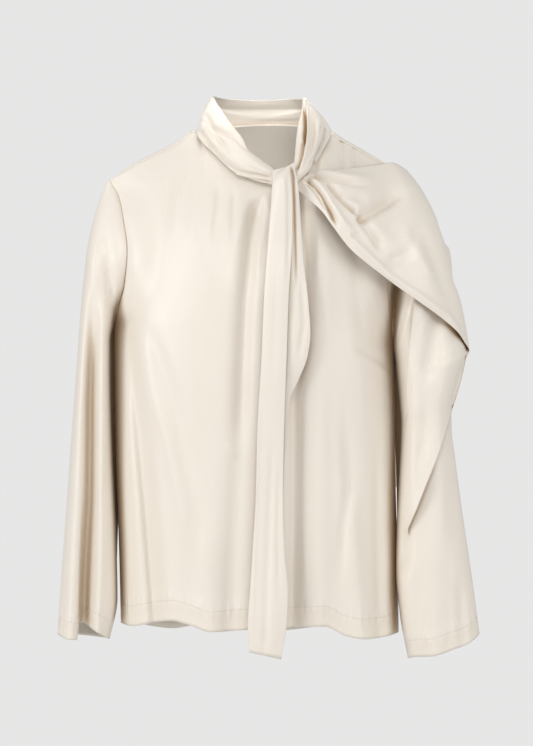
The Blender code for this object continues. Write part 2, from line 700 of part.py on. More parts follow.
for old in list(bpy.data.objects):
    bpy.data.objects.remove(old, do_unlink=True)
front_form = cloth("front", front_place, 19, 17)
back_form = cloth("back", back_place, 15, 14)
cloth("sleeve_right", SLEEVE_RIGHT.place, 20, 16, tube=True)
left_form = cloth("sleeve_left", SLEEVE_LEFT.place, 28, 22, tube=True)
cloth("neck_band", folded(NECK_BAND, NECK_BAND_CREASES, (), [front_form], NECK_CLEARANCE), 5, 24)
cloth("scarf_knot", folded(KNOT, ()), 4, 4)
cloth("scarf_drape",
      folded(DRAPE, DRAPE_CREASES, DRAPE_RUNS, [front_form, back_form, left_form], DRAPE_CLEARANCE),
      14, 20)
cloth("neck_strap", folded(NECK_STRAP, (), (), [front_form], NECK_CLEARANCE), 5, 10)
cloth("scarf_tail", hanging(TAIL), 5, 18)
cloth("scarf_tail_edge", hanging(TAIL_EDGE), 4, 16)
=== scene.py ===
import math

import bmesh
import bpy
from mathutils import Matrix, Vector
from mathutils.bvhtree import BVHTree


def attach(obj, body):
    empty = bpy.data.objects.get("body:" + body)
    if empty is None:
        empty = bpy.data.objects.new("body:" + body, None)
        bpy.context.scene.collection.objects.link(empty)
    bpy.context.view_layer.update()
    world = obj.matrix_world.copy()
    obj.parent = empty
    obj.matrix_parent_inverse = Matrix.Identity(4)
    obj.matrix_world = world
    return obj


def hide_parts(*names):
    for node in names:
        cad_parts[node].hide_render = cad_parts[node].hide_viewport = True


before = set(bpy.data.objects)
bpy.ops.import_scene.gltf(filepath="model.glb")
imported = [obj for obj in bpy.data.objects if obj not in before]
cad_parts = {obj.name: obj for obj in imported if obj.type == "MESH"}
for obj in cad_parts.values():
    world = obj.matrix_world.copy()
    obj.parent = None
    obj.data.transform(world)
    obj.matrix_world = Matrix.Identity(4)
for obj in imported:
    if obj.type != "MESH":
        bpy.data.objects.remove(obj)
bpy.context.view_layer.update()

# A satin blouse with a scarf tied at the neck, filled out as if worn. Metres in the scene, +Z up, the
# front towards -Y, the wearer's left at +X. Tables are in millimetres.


# ------------------------------------------------------------------ studio and camera
# A pale floor a standing wearer's height below the shoulders, a pale even surround, a large soft box
# on each side, one above, and a level camera in front.

def stage_plane(name, size, place, turn, shade):
    plane = bmesh.new()
    bmesh.ops.create_grid(plane, x_segments=1, y_segments=1, size=size / 2)
    mesh = bpy.data.meshes.new(name)
    plane.to_mesh(mesh)
    plane.free()
    obj = bpy.data.objects.new(name, mesh)
    obj.location, obj.rotation_euler = place, turn
    bpy.context.scene.collection.objects.link(obj)
    paper = bpy.data.materials.new(name)
    paper.use_nodes = True
    shader = paper.node_tree.nodes["Principled BSDF"]
    shader.inputs["Base Color"].default_value = (*shade, 1)
    shader.inputs["Roughness"].default_value = 0.95
    shader.inputs["Specular IOR Level"].default_value = 0.1
    mesh.materials.append(paper)


FLOOR_Z = -1.4
stage_plane("studio_floor", 16, (0, 0, FLOOR_Z), (0, 0, 0), (0.86, 0.855, 0.855))


def soft_box(name, place, aim, size, watts, spread=180):
    data = bpy.data.lights.new(name, "AREA")
    data.shape = "RECTANGLE"
    data.size, data.size_y = size
    data.energy = watts
    data.spread = math.radians(spread)
    lamp = bpy.data.objects.new(name, data)
    lamp.location = place
    lamp.visible_camera = False
    lamp.rotation_euler = (Vector(aim) - Vector(place)).to_track_quat("-Z", "Y").to_euler()
    bpy.context.scene.collection.objects.link(lamp)


CHEST = (0.0, 0.0, -0.3)
soft_box("key_light", (-2.4, -1.7, 0.5), CHEST, (1.0, 1.8), 33)
soft_box("fill_light", (2.4, -2.0, 0.3), CHEST, (1.4, 2.2), 20)
soft_box("front_light", (0.1, -2.8, 1.3), (0, 0.05, -0.1), (1.2, 1.0), 20)
soft_box("neck_light", (0.0, -0.20, 0.36), (0.0, 0.06, -0.04), (0.06, 0.06), 0.055, spread=30)

# The camera sees the surround a little brighter than it lights the cloth, as a lit backdrop would be.
LIT_AIR, SEEN_AIR = 0.55, 0.80
air = bpy.data.worlds.new("studio_air")
air.use_nodes = True
sky = air.node_tree.nodes["Background"]
sky.inputs["Color"].default_value = (1, 0.993, 0.99, 1)
path = air.node_tree.nodes.new("ShaderNodeLightPath")
level = air.node_tree.nodes.new("ShaderNodeMapRange")
level.inputs["To Min"].default_value = LIT_AIR
level.inputs["To Max"].default_value = SEEN_AIR
air.node_tree.links.new(path.outputs["Is Camera Ray"], level.inputs["Value"])
air.node_tree.links.new(level.outputs["Result"], sky.inputs["Strength"])
bpy.context.scene.world = air
bpy.context.scene.view_settings.view_transform = "Standard"

CAMERA_AWAY = 8.0
VIEW_HEIGHT = 0.9698          # what the picture's height takes in, at the front of the blouse
lens_data = bpy.data.cameras.new("camera")
lens_data.lens = lens_data.sensor_width * CAMERA_AWAY / VIEW_HEIGHT
lens_data.clip_end = 100
camera = bpy.data.objects.new("camera", lens_data)
camera.location = (0.0117, -0.06 - CAMERA_AWAY, -0.3146)
camera.rotation_euler = (math.pi / 2, 0, 0)
bpy.context.scene.collection.objects.link(camera)
bpy.context.scene.camera = camera


# ------------------------------------------------------------------ front
# One piece of ivory satin, cut with a bust dart on each side, sewn at the shoulders, armholes and sides.
# It falls in soft folds from the knot, the bust and the underarms to a turned and stitched hem.

MM = 0.001
WALL = 0.6                    # the shown cloth, hems and all
SEAM_GAP = 0.15               # each side of a seam


class Table:
    """Rows with named columns, read on a smooth curve through the rows by the first column."""

    def __init__(self, columns, *rows):
        self.columns = columns.split()
        self.rows = sorted(rows)

    def read(self, at, *names):
        values = [self.one(at, self.columns.index(name)) for name in names]
        return values[0] if len(values) == 1 else values

    def one(self, at, column):
        rows = self.rows
        at = min(max(at, rows[0][0]), rows[-1][0])
        low = 0
        while low < len(rows) - 2 and at > rows[low + 1][0]:
            low += 1
        start, end = rows[low], rows[low + 1]
        width = end[0] - start[0]
        t = (at - start[0]) / width
        first, last = self.slope(low, column), self.slope(low + 1, column)
        return (
            start[column] * (1 + 2 * t) * (1 - t) ** 2
            + end[column] * t * t * (3 - 2 * t)
            + width * (first * t * (1 - t) ** 2 - last * t * t * (1 - t))
        )

    def slope(self, row, column):
        """A slope that never overshoots the rows on either side."""
        def rise(low):
            return ((self.rows[low + 1][column] - self.rows[low][column])
                    / (self.rows[low + 1][0] - self.rows[low][0]))
        if row == 0:
            return rise(0)
        if row == len(self.rows) - 1:
            return rise(row - 1)
        before, after = rise(row - 1), rise(row)
        if before * after <= 0:
            return 0.0
        return 2 * before * after / (before + after)


def mix(start, end, share):
    return start + (end - start) * share


def ease(value, start, end):
    """0 before start, 1 after end, and a smooth step between."""
    share = min(max((value - start) / (end - start), 0.0), 1.0)
    return share * share * (3 - 2 * share)


class Crease:
    """A soft trough (depth above 0) or ridge along a path, with a reach on its near and far side.

    The far side is the viewer's right of a path that runs down, and above one that runs right.
    """

    def __init__(self, depth, near, far, fade_in, fade_out, *path):
        self.depth, self.near, self.far = depth, near, far
        self.fade_in, self.fade_out = fade_in, fade_out
        self.runs, self.length = [], 0.0
        for start, end in zip(path, path[1:]):
            length = math.dist(start, end)
            self.runs.append((start, end, length, self.length))
            self.length += length

    def at(self, x, z):
        best, found = 1e9, None
        for start, end, length, before in self.runs:
            dx, dz = (end[0] - start[0]) / length, (end[1] - start[1]) / length
            off_x, off_z = x - start[0], z - start[1]
            along = min(max(off_x * dx + off_z * dz, 0.0), length)
            distance = math.hypot(off_x - along * dx, off_z - along * dz)
            if distance < best:
                best, found = distance, (before + along, off_z * dx - off_x * dz)
        along, side = found
        reach = self.far if side > 0 else self.near
        if best > 3 * reach:
            return 0.0
        share = along / self.length
        ends = ease(share, 0, self.fade_in) * ease(1 - share, 0, self.fade_out)
        return self.depth * ends * math.exp(-(best / reach) ** 2)


def creased(creases, x, z):
    return sum(crease.at(x, z) for crease in creases)


# Shoulder seams, with the points where they meet the neck.
SHOULDERS = Table(
    "x     z",
    (-194, -63),
    (-150, -38),
    (-110, -18),
    (-79, 1),
    (82, 5),
    (110, -11),
    (150, -34),
    (188, -57),
)
# Armhole and side seam on each side, from the shoulder tip down: where the seam runs.
RIGHT_SEAM = Table(
    "z     x    front back",
    (-62, -194, -6, -6),
    (-83, -182, -34, 22),
    (-116, -175, -54, 46),
    (-155, -170, -58, 56),
    (-200, -174, -44, 50),
    (-233, -184, -18, 28),
    (-252, -188, 4, 4),
    (-400, -186, 4, 4),
    (-560, -181, 4, 4),
    (-645, -179, 4, 4),
)
LEFT_SEAM = Table(
    "z     x    front back",
    (-57, 188, -6, -6),
    (-83, 180, -34, 22),
    (-116, 174, -54, 46),
    (-155, 169, -58, 56),
    (-200, 170, -50, 52),
    (-239, 173.5, -26, 34),
    (-265, 176, -6, 14),
    (-279, 178, 4, 4),
    (-428, 180, 4, 4),
    (-560, 183.5, 4, 4),
    (-655, 185, 4, 4),
)
# The general figure: how far the cloth stands forward and back on the centre line and at the sides,
# and how round it is between.
FIGURE = Table(
    "z    front back front_side back_side round",
    (-60, -92, 84, -34, 34, 0.90),
    (-155, -107, 97, -38, 38, 0.82),
    (-215, -112, 99, -33, 32, 0.74),
    (-290, -112, 94, -20, 22, 0.50),
    (-400, -107, 88, -2, 8, 0.42),
    (-520, -103, 90, 4, 4, 0.38),
    (-650, -102, 97, 4, 4, 0.38),
)
SIDE_EASE = 46                # how far in from the seams the figure's own depth takes over
RIGHT_TIP_X, RIGHT_TIP_Z = -194, -62                 # the shoulder tips
LEFT_TIP_X, LEFT_TIP_Z = 188, -57
HEM_RIGHT_X, HEM_LEFT_X = -180, 185
NECK_LEFT_X, NECK_RIGHT_X, NECK_CENTRE_X = 78, -72, 10
NECK_DROP, BACK_NECK_RISE = 62, 9
SHOULDER_Y, NECK_FRONT_Y, NECK_BACK_Y = -6, -62, 60
FRONT_ROLL, BACK_ROLL = 190, 130     # how far below the shoulder the cloth reaches its full depth
ROLL_POWER = 2.2                     # how soon it does
NECK_ROUND, NECK_CURVE = 0.6, 2.2    # how round the neckline is from above and from in front
UNDERARM_TOP, UNDERARM_END = 215, 290    # where the side seams take over from the armholes
ROW_CROWDING = 1.25                  # how much closer the rows lie at the shoulders than at the hem
HEM = Table(
    "x     front back",
    (-180, -641, -641),
    (-166, -644, -643),
    (-137, -639, -649),
    (-112, -636, -652),
    (-90, -641, -649),
    (-60, -650, -645),
    (-14, -647, -650),
    (36, -645, -655),
    (86, -643, -650),
    (116, -656, -651),
    (140, -660, -656),
    (165, -658, -655),
    (185, -653, -653),
)
FRONT_CREASES = [
    Crease(12, 7, 13, 0.45, 0.02, (-168, -207), (-158, -350), (-146, -480), (-136, -610), (-132, -670)),
    Crease(5, 11, 13, 0.3, 0.4, (-167, -213), (-131, -285), (-107, -363), (-81, -480), (-66, -560)),
    Crease(-4, 11, 13, 0.4, 0.4, (-150, -300), (-118, -390), (-98, -480), (-90, -600)),
    Crease(12, 11, 12, 0.10, 0.3, (6, -78), (-8, -142), (-17, -220), (-22, -324), (-25, -441)),
    Crease(-4, 5, 6, 0.1, 0.5, (14, -80), (9, -110), (2, -150), (-4, -200)),
    Crease(7, 14, 14, 0.4, 0.02, (-20, -320), (-27, -441), (-33, -558), (-38, -670)),
    Crease(-5, 14, 16, 0.4, 0.02, (-62, -480), (-64, -580), (-62, -670)),
    Crease(13, 8, 12, 0.06, 0.02, (57, -66), (61, -168), (58, -272), (47, -350), (47, -480), (44, -670)),
    Crease(-4, 10, 12, 0.3, 0.05, (82, -100), (86, -230), (86, -350), (80, -670)),
    Crease(5, 7, 7, 0.4, 0.3, (110, -340), (116, -420), (118, -463), (112, -511), (105, -610)),
    Crease(-10, 16, 15, 0.6, 0.02, (108, -420), (128, -560), (139, -670)),
    Crease(6, 6, 7, 0.4, 0.05, (153, -380), (155, -441), (158, -670)),
    Crease(4, 2.2, 5, 0.1, 0.3, (107, -8), (110, -30), (112, -60)),
    Crease(3.4, 2.2, 5, 0.1, 0.3, (121, -18), (128, -40), (133, -66)),
    Crease(2.0, 5, 6, 0.3, 0.5, (-120, -55), (-119, -90), (-124, -150)),
    Crease(1.8, 4, 5, 0.2, 0.5, (-87, -52), (-88, -80), (-92, -140)),
    Crease(2.4, 5, 6, 0.2, 0.5, (-49, -62), (-51, -95), (-58, -170)),
    Crease(-2.0, 6, 6, 0.3, 0.5, (-104, -60), (-105, -95), (-108, -150)),
    Crease(1.8, 4, 5, 0.2, 0.5, (-30, -72), (-31, -100), (-34, -160)),
    Crease(2.2, 9, 10, 0.4, 0.4, (78, -170), (84, -260), (92, -380), (90, -480)),
    Crease(2.0, 8, 8, 0.4, 0.4, (130, -200), (134, -260), (140, -330)),
    Crease(-1.6, 4, 5, 0.3, 0.3, (-44, -405), (-36, -415), (-26, -426)),
    # the bust dart on the wearer's left, with the smoother one on the right
    Crease(4.4, 2.4, 6, 0.3, 0.01, (122, -284), (142, -291), (158, -300), (182, -320)),
    Crease(-2.2, 8, 2.4, 0.35, 0.01, (122, -288), (142, -295), (158, -305), (182, -325)),
]


def in_neck(x):
    return NECK_RIGHT_X < x < NECK_LEFT_X


def neck_share(x):
    """How far from the neckline's lowest point, 0, to a neck point, 1."""
    half = (NECK_LEFT_X if x > NECK_CENTRE_X else NECK_RIGHT_X) - NECK_CENTRE_X
    return abs((x - NECK_CENTRE_X) / half)


def front_top(x):
    """(y, z) of the front's upper edge, on the shoulder seams and the neckline."""
    z = SHOULDERS.read(x, "z")
    if not in_neck(x):
        return SHOULDER_Y, z
    share = neck_share(x)
    depth = max(1 - share * share, 0.0) ** NECK_ROUND
    return mix(SHOULDER_Y, NECK_FRONT_Y, depth), z - NECK_DROP * (1 - share ** NECK_CURVE)


def body_y(x, z, side, top, roll, creases):
    """Depth of the front or the back ('front' or 'back') at a point of its outline as seen from in front."""
    right_x, right_y = RIGHT_SEAM.read(min(z, RIGHT_TIP_Z), "x", side)
    left_x, left_y = LEFT_SEAM.read(min(z, LEFT_TIP_Z), "x", side)
    centre, at_side, round_power = FIGURE.read(z, side, side + "_side", "round")
    share = min(max((x - right_x) / (left_x - right_x), 0.0), 1.0)
    arch = max(1 - (2 * share - 1) ** 2, 0.0) ** round_power
    y = mix(at_side, centre, arch)
    y += (right_y - at_side) * (1 - ease(x - right_x, 0, SIDE_EASE))
    y += (left_y - at_side) * (1 - ease(left_x - x, 0, SIDE_EASE))
    top_y, top_z = top(x)
    below = min(max((top_z - z) / roll, 0.0), 1.0)
    y = mix(top_y, y, 1 - (1 - below) ** ROLL_POWER)
    edge = ease(share, 0, 0.05) * ease(1 - share, 0, 0.05)
    return y + edge * creased(creases, x, z)


def front_y(x, z):
    return body_y(x, z, "front", front_top, FRONT_ROLL, FRONT_CREASES)


def body_place(across, up, side, top, depth):
    """A point of the front or back panel: across from the wearer's right to left, up from the hem."""
    up = 1 - (1 - up) ** ROW_CROWDING
    right_z = mix(HEM.read(HEM_RIGHT_X, side), RIGHT_TIP_Z, up)
    left_z = mix(HEM.read(HEM_LEFT_X, side), LEFT_TIP_Z, up)
    rounded = ease(-(right_z + left_z) / 2, UNDERARM_TOP, UNDERARM_END)
    share = mix(across, (1 - math.cos(math.pi * across)) / 2, rounded)
    x = mix(RIGHT_SEAM.read(right_z, "x"), LEFT_SEAM.read(left_z, "x"), share)
    top_x = mix(RIGHT_TIP_X, LEFT_TIP_X, share)
    top_z = top(top_x)[1]
    z = mix(HEM.read(mix(HEM_RIGHT_X, HEM_LEFT_X, share), side), top_z, up)
    y = depth(x, z) + (-SEAM_GAP if side == "front" else SEAM_GAP)
    x += (1 - 2 * across) * ease(abs(1 - 2 * across), 0.9, 1.0) * (1 - rounded) * SEAM_GAP
    return x, y, z, top_x, top_z


def front_place(u, v):
    return body_place(u, v, "front", front_top, front_y)[:3]


# Reliefs of the weave and the hem, in metres, and how far the stitches and their puckers reach.
RIB_HEIGHT, SLUB_HEIGHT, CRIMP_HEIGHT = 0.00002, 0.00005, 0.00022
STITCH_DEPTH, STITCH_REACH = 0.0003, 0.0009
PUCKER_HEIGHT, PUCKER_REACH = 0.0024, 0.011
TURNED_HEIGHT = 0.00025       # how much a turned hem stands out


def satin_weave():
    """Satin's fine ribs and slubs, its soft unevenness, and the line of stitches above a turned hem.

    Across and along are the cut cloth's own directions, in metres. Stitch is the height above the line.
    """
    group = bpy.data.node_groups.new("satin_weave", "ShaderNodeTree")
    for name, kind in (("Cloth", "NodeSocketVector"), ("Place", "NodeSocketVector"),
                       ("Stitch", "NodeSocketFloat")):
        group.interface.new_socket(name, in_out="INPUT", socket_type=kind)
    for name in ("Height", "Shade", "Turned", "Rough"):
        group.interface.new_socket(name, in_out="OUTPUT", socket_type="NodeSocketFloat")
    nodes, links = group.nodes, group.links
    given = nodes.new("NodeGroupInput")
    result = nodes.new("NodeGroupOutput")

    def maths(operation, *values):
        node = nodes.new("ShaderNodeMath")
        node.operation = operation
        for socket, value in zip(node.inputs, values):
            if isinstance(value, (int, float)):
                socket.default_value = value
            else:
                links.new(value, socket)
        return node.outputs["Value"]

    def noise(source, stretch, detail):
        scaled = nodes.new("ShaderNodeMapping")
        scaled.inputs["Scale"].default_value = stretch
        links.new(source, scaled.inputs["Vector"])
        grain = nodes.new("ShaderNodeTexNoise")
        grain.inputs["Scale"].default_value = 1.0
        grain.inputs["Detail"].default_value = detail
        links.new(scaled.outputs["Vector"], grain.inputs["Vector"])
        return grain.outputs["Fac"]

    cut = given.outputs["Cloth"]
    ribs = noise(cut, (2600, 90, 1), 1.0)
    slubs = noise(cut, (700, 16, 1), 2.0)
    crimp = noise(cut, (130, 34, 1), 2.0)
    broad = noise(given.outputs["Place"], (9, 9, 6), 2.0)
    streaks = noise(cut, (46, 3.5, 1), 2.0)
    stitch = given.outputs["Stitch"]
    off_line = maths("DIVIDE", stitch, STITCH_REACH)
    groove = maths("EXPONENT", maths("MULTIPLY", maths("MULTIPLY", off_line, off_line), -1.0))
    around = maths("DIVIDE", stitch, PUCKER_REACH)
    pucker_zone = maths("EXPONENT", maths("MULTIPLY", maths("MULTIPLY", around, around), -1.0))
    puckers = noise(cut, (150, 22, 1), 1.0)
    turned = maths("LESS_THAN", stitch, 0.0)
    height = maths("MULTIPLY", ribs, RIB_HEIGHT)
    height = maths("MULTIPLY_ADD", slubs, SLUB_HEIGHT, height)
    height = maths("MULTIPLY_ADD", crimp, CRIMP_HEIGHT, height)
    height = maths("MULTIPLY_ADD", groove, -STITCH_DEPTH, height)
    height = maths("MULTIPLY_ADD", maths("MULTIPLY", puckers, pucker_zone), PUCKER_HEIGHT, height)
    height = maths("MULTIPLY_ADD", turned, TURNED_HEIGHT, height)
    links.new(height, result.inputs["Height"])
    shade = maths("MULTIPLY_ADD", broad, 0.5, maths("MULTIPLY", streaks, 0.35))
    links.new(maths("MULTIPLY_ADD", slubs, 0.15, shade), result.inputs["Shade"])
    links.new(maths("MULTIPLY", turned, 0.6), result.inputs["Turned"])
    links.new(maths("MULTIPLY_ADD", slubs, 0.12, 0.34), result.inputs["Rough"])
    return group


WEAVE = satin_weave()
BRIGHT, WARM = (0.84, 0.785, 0.705), (0.79, 0.722, 0.628)      # the satin's two ends of its own unevenness
HEM_TINT = (0.83, 0.765, 0.66)                                  # where it lies double
PAINTED_GAP_SHADE = (0.50, 0.34, 0.17)                                       # painted shade: a warm brown laid into gaps and deep creases
GAP_REACH = 0.022                                               # how near a neighbour brings in the painted shade
GAP_SHUT, GAP_OPEN = 0.12, 0.72                                 # openness where it is all painted shade, or all satin


def satin(name):
    """Ivory satin: a soft sheen, fine ribs, and a painted warm brown shade where two layers nearly meet."""
    material = bpy.data.materials.new(name)
    material.use_nodes = True
    nodes, links = material.node_tree.nodes, material.node_tree.links
    shader = nodes["Principled BSDF"]
    weave = nodes.new("ShaderNodeGroup")
    weave.node_tree = WEAVE
    cut = nodes.new("ShaderNodeUVMap")
    cut.uv_map = "cut"
    where = nodes.new("ShaderNodeTexCoord")
    stitch = nodes.new("ShaderNodeAttribute")
    stitch.attribute_name = "stitch"
    links.new(cut.outputs["UV"], weave.inputs["Cloth"])
    links.new(where.outputs["Object"], weave.inputs["Place"])
    links.new(stitch.outputs["Fac"], weave.inputs["Stitch"])

    def blend(factor, first, second):
        node = nodes.new("ShaderNodeMix")
        node.data_type = "RGBA"
        links.new(factor, node.inputs["Factor"])
        for socket, value in (("A", first), ("B", second)):
            if isinstance(value, tuple):
                node.inputs[socket].default_value = (*value, 1)
            else:
                links.new(value, node.inputs[socket])
        return node.outputs["Result"]

    base = blend(weave.outputs["Shade"], BRIGHT, WARM)
    base = blend(weave.outputs["Turned"], base, HEM_TINT)
    # Painted shade: ambient occlusion turns the colour a warm brown in gaps and deep creases.
    shade_occlusion = nodes.new("ShaderNodeAmbientOcclusion")
    shade_occlusion.samples = 8
    shade_occlusion.inputs["Distance"].default_value = GAP_REACH
    reach = nodes.new("ShaderNodeMapRange")
    reach.inputs["From Min"].default_value = GAP_SHUT
    reach.inputs["From Max"].default_value = GAP_OPEN
    links.new(shade_occlusion.outputs["AO"], reach.inputs["Value"])
    links.new(blend(reach.outputs["Result"], PAINTED_GAP_SHADE, base), shader.inputs["Base Color"])
    links.new(weave.outputs["Rough"], shader.inputs["Roughness"])
    relief = nodes.new("ShaderNodeBump")
    relief.inputs["Strength"].default_value = 1.0
    relief.inputs["Distance"].default_value = 1.0
    links.new(weave.outputs["Height"], relief.inputs["Height"])
    links.new(relief.outputs["Normal"], shader.inputs["Normal"])
    shader.inputs["Specular IOR Level"].default_value = 0.5
    shader.inputs["Sheen Weight"].default_value = 0.15
    shader.inputs["Sheen Roughness"].default_value = 0.4
    return material


SATIN = satin("satin_ivory")
NO_HEM = 1.0                  # stitch height, in metres, where there is no line of stitches


def cloth(name, place, columns, rows, flat, hem=None, tube=False):
    """A piece of satin on a grid, its outer face at place(u, v), cut flat to width and length in metres.

    hem(u, v, point) is how far a point lies above the line of stitches, in millimetres.
    """
    sheet = bmesh.new()
    bmesh.ops.create_grid(sheet, x_segments=columns, y_segments=rows, size=0.5)
    uv_layer = sheet.loops.layers.uv.new("cut")
    stitch_layer = sheet.verts.layers.float.new("stitch")
    for face in sheet.faces:
        for loop in face.loops:
            loop[uv_layer].uv = ((loop.vert.co.x + 0.5) * flat[0], (loop.vert.co.y + 0.5) * flat[1])
    for vert in sheet.verts:
        u, v = vert.co.x + 0.5, vert.co.y + 0.5
        vert.co = place(u, v)
        vert[stitch_layer] = hem(u, v, vert.co) * MM if hem else NO_HEM
    if tube:
        bmesh.ops.remove_doubles(sheet, verts=sheet.verts[:], dist=0.01)
    form = BVHTree.FromBMesh(sheet)
    bmesh.ops.scale(sheet, vec=(MM, MM, MM), verts=sheet.verts)
    mesh = bpy.data.meshes.new(name + "_cloth")
    sheet.to_mesh(mesh)
    sheet.free()
    mesh.shade_smooth()
    mesh.materials.append(SATIN)
    obj = bpy.data.objects.new(name + "_cloth", mesh)
    bpy.context.scene.collection.objects.link(obj)
    wall = obj.modifiers.new("wall", "SOLIDIFY")
    wall.thickness = WALL * MM
    wall.offset = -1
    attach(obj, "root")
    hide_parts(name)
    return obj, form


BODY_FLAT = (0.49, 0.68)      # a panel's cut: chest width with its ease, and shoulder to hem
HEM_DEPTH = 26                # from the body's edge up to its stitches


def above_body_hem(side):
    """How far a point lies above the line of stitches round the hem."""
    return lambda u, v, point: point.z - HEM.read(point.x, side) - HEM_DEPTH


front, front_form = cloth("front", front_place, 180, 180, BODY_FLAT, above_body_hem("front"))


# ------------------------------------------------------------------ back
# One piece of the same satin. It comes forward over the shoulders to the shoulder seams,
# and hangs in long soft folds from the shoulder blades.

BACK_CREASES = [
    Crease(-8, 18, 18, 0.4, 0.02, (-150, -240), (-140, -450), (-132, -670)),
    Crease(-6, 24, 24, 0.3, 0.02, (-70, -60), (-75, -350), (-78, -670)),
    Crease(6, 26, 26, 0.3, 0.02, (10, -30), (6, -350), (4, -670)),
    Crease(-7, 22, 22, 0.3, 0.02, (78, -60), (82, -350), (84, -670)),
    Crease(6, 18, 18, 0.4, 0.02, (140, -240), (139, -450), (138, -670)),
    Crease(3, 9, 12, 0.3, 0.4, (-165, -215), (-120, -330), (-100, -470)),
    Crease(3, 12, 9, 0.3, 0.4, (162, -225), (118, -340), (96, -480)),
]
SHOULDER_RISE, SHOULDER_RISE_RUN = 3.0, 14     # how the back rises over the shoulder from the seam
RISE_INSET = 16                                # and how far in from the seam's ends it is full


def back_top(x):
    z = SHOULDERS.read(x, "z")
    if not in_neck(x):
        return SHOULDER_Y, z
    share = neck_share(x)
    depth = max(1 - share * share, 0.0) ** NECK_ROUND
    return mix(SHOULDER_Y, NECK_BACK_Y, depth), z + BACK_NECK_RISE * depth


def back_y(x, z):
    return body_y(x, z, "back", back_top, BACK_ROLL, BACK_CREASES)


def back_place(u, v):
    x, y, z, top_x, top_z = body_place(1 - u, v, "back", back_top, back_y)
    if not in_neck(top_x):
        below = top_z - z
        beside_neck = max(top_x - NECK_LEFT_X, NECK_RIGHT_X - top_x)
        inset = min(top_x - RIGHT_TIP_X, LEFT_TIP_X - top_x, beside_neck)
        z += ease(inset, 0, RISE_INSET) * SHOULDER_RISE * below * math.exp(-below / SHOULDER_RISE_RUN)
    return x, y, z


back, back_form = cloth("back", back_place, 110, 110, BODY_FLAT, above_body_hem("back"))


# ------------------------------------------------------------------ sleeve_right and sleeve_left
# Two one-piece sleeves, each a satin tube sewn into its armhole and closed down its inner side,
# hanging in standing columns of cloth. The left one is bent forward, so it doubles over at the elbow.

# Rings from the armhole down: the outer and inner points of each, its middle, how deep it is each way
# and how far it reaches in behind the body.
RINGS = "down  out_x out_z in_x  in_z  y    front back behind"
RIGHT_SLEEVE = Table(
    RINGS,
    (0.00, -194, -62, -188, -252, 0, 54, 52, 0),
    (0.04, -202, -67, -189, -253, -1, 55, 52, 4),
    (0.10, -214, -99, -190, -256, -2, 56, 52, 10),
    (0.18, -222, -144, -191.5, -262, -4, 56, 52, 20),
    (0.28, -230, -215, -193, -275, -6, 54, 52, 26),
    (0.40, -237, -310, -192.5, -330, -8, 52, 54, 26),
    (0.55, -244, -405, -190, -415, -10, 50, 54, 24),
    (0.75, -252.5, -525, -184.5, -535, -14, 46, 48, 14),
    (0.88, -258, -600, -183, -608, -17, 42, 40, 6),
    (1.00, -261.5, -655, -193, -662, -20, 38, 34, 0),
)
LEFT_SLEEVE = Table(
    RINGS,
    (0.00, 188, -57, 178, -279, 0, 54, 52, 0),
    (0.04, 197, -64, 178, -280, -1, 55, 52, 4),
    (0.10, 213, -84, 178.5, -283, -2, 56, 52, 10),
    (0.18, 229, -128, 179.5, -289, -4, 56, 52, 18),
    (0.28, 247, -196, 181, -300, -6, 54, 52, 24),
    (0.37, 264, -256, 182.5, -318, -8, 52, 52, 26),
    (0.42, 272, -284, 184, -334, -9, 51, 52, 26),
    (0.47, 263, -318, 186, -354, -10, 50, 52, 26),
    (0.53, 253.5, -362, 188, -382, -11, 50, 52, 26),
    (0.58, 254, -389, 187, -408, -12, 50, 52, 24),
    (0.64, 258, -424, 185.5, -440, -18, 47, 50, 20),
    (0.75, 268, -500, 181.5, -516, -27, 43, 50, 12),
    (0.84, 276.5, -558, 180.5, -570, -33, 40, 47, 6),
    (0.93, 285, -619, 186, -632, -35, 39, 40, 0),
    (1.00, 289.5, -654, 196, -686, -35, 38, 37, 0),
)
# How low the front of each cuff hangs.
RIGHT_CUFF = Table(
    "x    z",
    (-261.5, -655),
    (-248, -661),
    (-235, -662),
    (-231.5, -640),
    (-212, -650),
    (-193, -662),
)
LEFT_CUFF = Table(
    "x    z",
    (196, -686),
    (206, -683.5),
    (226, -682.5),
    (237, -680),
    (256, -673),
    (269, -669),
    (282, -661),
    (289.5, -654),
)
# The left sleeve's front stands forward as a column between two edges, lapping over what is beside it.
# inner: its edge towards the body. outer: the other one. lap: how far it covers. lift: how far forward.
LEFT_COLUMN = Table(
    "z     inner_x inner_lap inner_lift outer_x outer_lap outer_lift hold",
    (-57, 204, 0, 0, 240, 0, 0, 0),
    (-170, 204, 0, 0, 250, 0, 0, 0),
    (-205, 203.5, 6, 6, 236, 0, 0, 0.8),
    (-230, 202, 9, 11, 243, 0, 0, 1),
    (-265, 198.5, 9, 12, 256, 0, 2, 1),
    (-279, 197.3, 9, 12, 268, 3, 6, 1),
    (-286, 196.8, 9, 12, 277, 12, 9, 1),
    (-297, 196, 9, 12, 272.5, 20, 11, 1),
    (-315, 194.5, 8, 12, 268.5, 27, 12, 1),
    (-344, 192.5, 6, 11, 260.5, 28, 13, 1),
    (-368, 190.5, 3, 9, 252.5, 28, 13, 1),
    (-389, 188.5, 0, 6, 246, 28, 13, 1),
    (-421, 186, 0, 5, 235, 28, 12, 1),
    (-469, 184, 0, 4, 215.5, 24, 11, 1),
    (-493, 182, 0, 3, 206, 18, 9, 1),
    (-511, 181, 0, 2, 198, 9, 7, 1),
    (-525, 181, 0, 0, 192, 2, 4, 1),
    (-545, 181, 0, 0, 190, 0, 0, 1),
    (-630, 195, 0, 0, 240, 0, 0, 0),
    (-690, 215, 0, 0, 262, 0, 0, 0),
)
